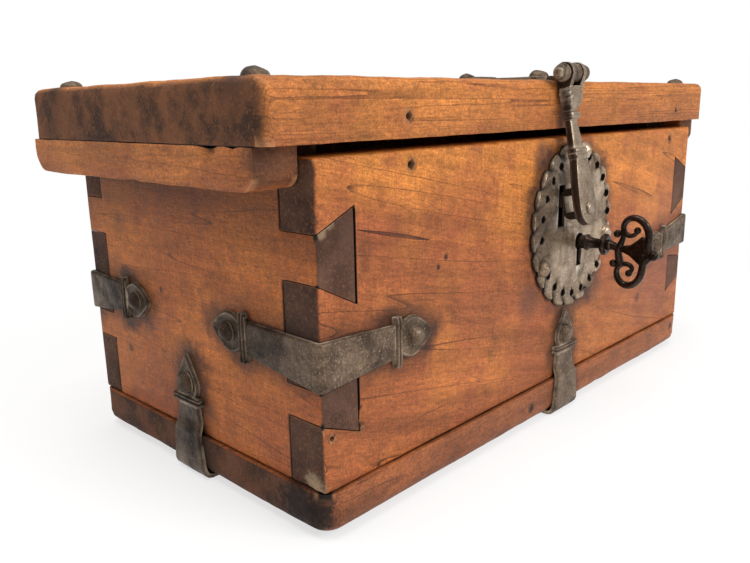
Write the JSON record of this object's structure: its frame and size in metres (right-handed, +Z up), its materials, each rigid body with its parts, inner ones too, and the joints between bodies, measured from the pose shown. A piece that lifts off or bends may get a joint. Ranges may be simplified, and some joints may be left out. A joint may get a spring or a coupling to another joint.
{
  "type": "strongbox",
  "caption": "Dovetailed wooden strongbox with wrought iron straps, a hinged battened lid, a swinging hasp with a staple, and a box lock with its key.",
  "frame": {"origin": "on the floor under the feet, midway along the overall length and midway along the overall depth, which runs from the key bow to the rear hinges", "axes": "+X to the right along the front, +Y from the front to the back, +Z up; the front with the lock faces -Y"},
  "size_m": [0.509, 0.311, 0.2522],
  "materials": {
    "box_wood": "old waxed softwood boards, warm orange brown, iron stained round the hardware",
    "lid_wood": "old waxed softwood with fine straight grain, dark end grain",
    "wrought_iron": "hand forged wrought iron, dark brown patina, edges rubbed brighter",
    "plate_iron": "hand cut sheet iron, rubbed pale grey with brown stains",
    "key_iron": "forged iron key, almost black"
  },
  "bodies": {
    "box": {"front_board": "box_wood", "back_board": "box_wood", "left_side_board": "box_wood", "right_side_board": "box_wood", "base_board": "box_wood", "lock_plate": "plate_iron", "lock_back_plate": "wrought_iron", "lock_key_post": "wrought_iron", "lock_ward": "wrought_iron", "bolt_spring": "wrought_iron", "front_left_corner_strap": "wrought_iron", "front_right_corner_strap": "wrought_iron", "back_left_corner_strap": "wrought_iron", "back_right_corner_strap": "wrought_iron", "front_foot_strap": "wrought_iron", "back_foot_strap": "wrought_iron", "left_foot_strap": "wrought_iron", "right_foot_strap": "wrought_iron", "hinge_box_leaf_1": "wrought_iron", "hinge_box_leaf_2": "wrought_iron", "hinge_pin_1": "wrought_iron", "hinge_pin_2": "wrought_iron", "front_left_corner_strap_nail_a": "wrought_iron", "front_left_corner_strap_nail_b": "wrought_iron", "front_right_corner_strap_nail_a": "wrought_iron", "front_right_corner_strap_nail_b": "wrought_iron", "back_left_corner_strap_nail_a": "wrought_iron", "back_left_corner_strap_nail_b": "wrought_iron", "back_right_corner_strap_nail_a": "wrought_iron", "back_right_corner_strap_nail_b": "wrought_iron", "front_foot_strap_nail": "wrought_iron", "back_foot_strap_nail": "wrought_iron", "left_foot_strap_nail": "wrought_iron", "right_foot_strap_nail": "wrought_iron", "lock_plate_nail_1": "wrought_iron", "lock_plate_nail_2": "wrought_iron", "lock_plate_nail_3": "wrought_iron", "hinge_box_leaf_nail_1": "wrought_iron", "hinge_box_leaf_nail_2": "wrought_iron"},
    "lid": {"lid_board": "lid_wood", "left_batten": "lid_wood", "right_batten": "lid_wood", "lid_strap": "wrought_iron", "hasp_pin": "wrought_iron", "hinge_lid_leaf_1": "wrought_iron", "hinge_lid_leaf_2": "wrought_iron", "lid_nail_front_left": "wrought_iron", "lid_nail_back_left": "wrought_iron", "lid_nail_front_right": "wrought_iron", "lid_nail_back_right": "wrought_iron", "lid_strap_nail_1": "wrought_iron", "lid_strap_nail_2": "wrought_iron", "hinge_lid_leaf_nail_1": "wrought_iron", "hinge_lid_leaf_nail_2": "wrought_iron"},
    "hasp": {"hasp_arm": "wrought_iron", "hasp_staple": "wrought_iron"},
    "key_collar": {"key_collar": "key_iron"},
    "key": {"key": "key_iron"},
    "bolt": {"bolt": "wrought_iron"}
  },
  "joints": [
    {"name": "lid_hinge", "type": "hinge", "parent": "box", "child": "lid", "pos_m": [0, 0.15051, 0.2037], "axis": [-1, 0, 0], "range_deg": [0, 105]},
    {"name": "hasp_hinge", "type": "hinge", "parent": "lid", "child": "hasp", "pos_m": [0.00103, -0.09879, 0.2454], "axis": [-1, 0, 0], "range_deg": [-6.4, 200]},
    {"name": "key_slide", "type": "slide", "parent": "box", "child": "key_collar", "axis": [0, -1, 0], "range_m": [0, 0.045]},
    {"name": "key_turn", "type": "hinge", "parent": "key_collar", "child": "key", "pos_m": [0.02853, -0.11639, 0.12715], "axis": [0, 1, 0], "range_deg": [0, 60]},
    {"name": "bolt_slide", "type": "slide", "parent": "box", "child": "bolt", "axis": [-1, 0, 0], "range_m": [0, 0.01316]}
  ],
  "couplings": [
    {"joint": "bolt_slide", "follows": "key_turn", "m_per_rad": 0.012516}
  ]
}
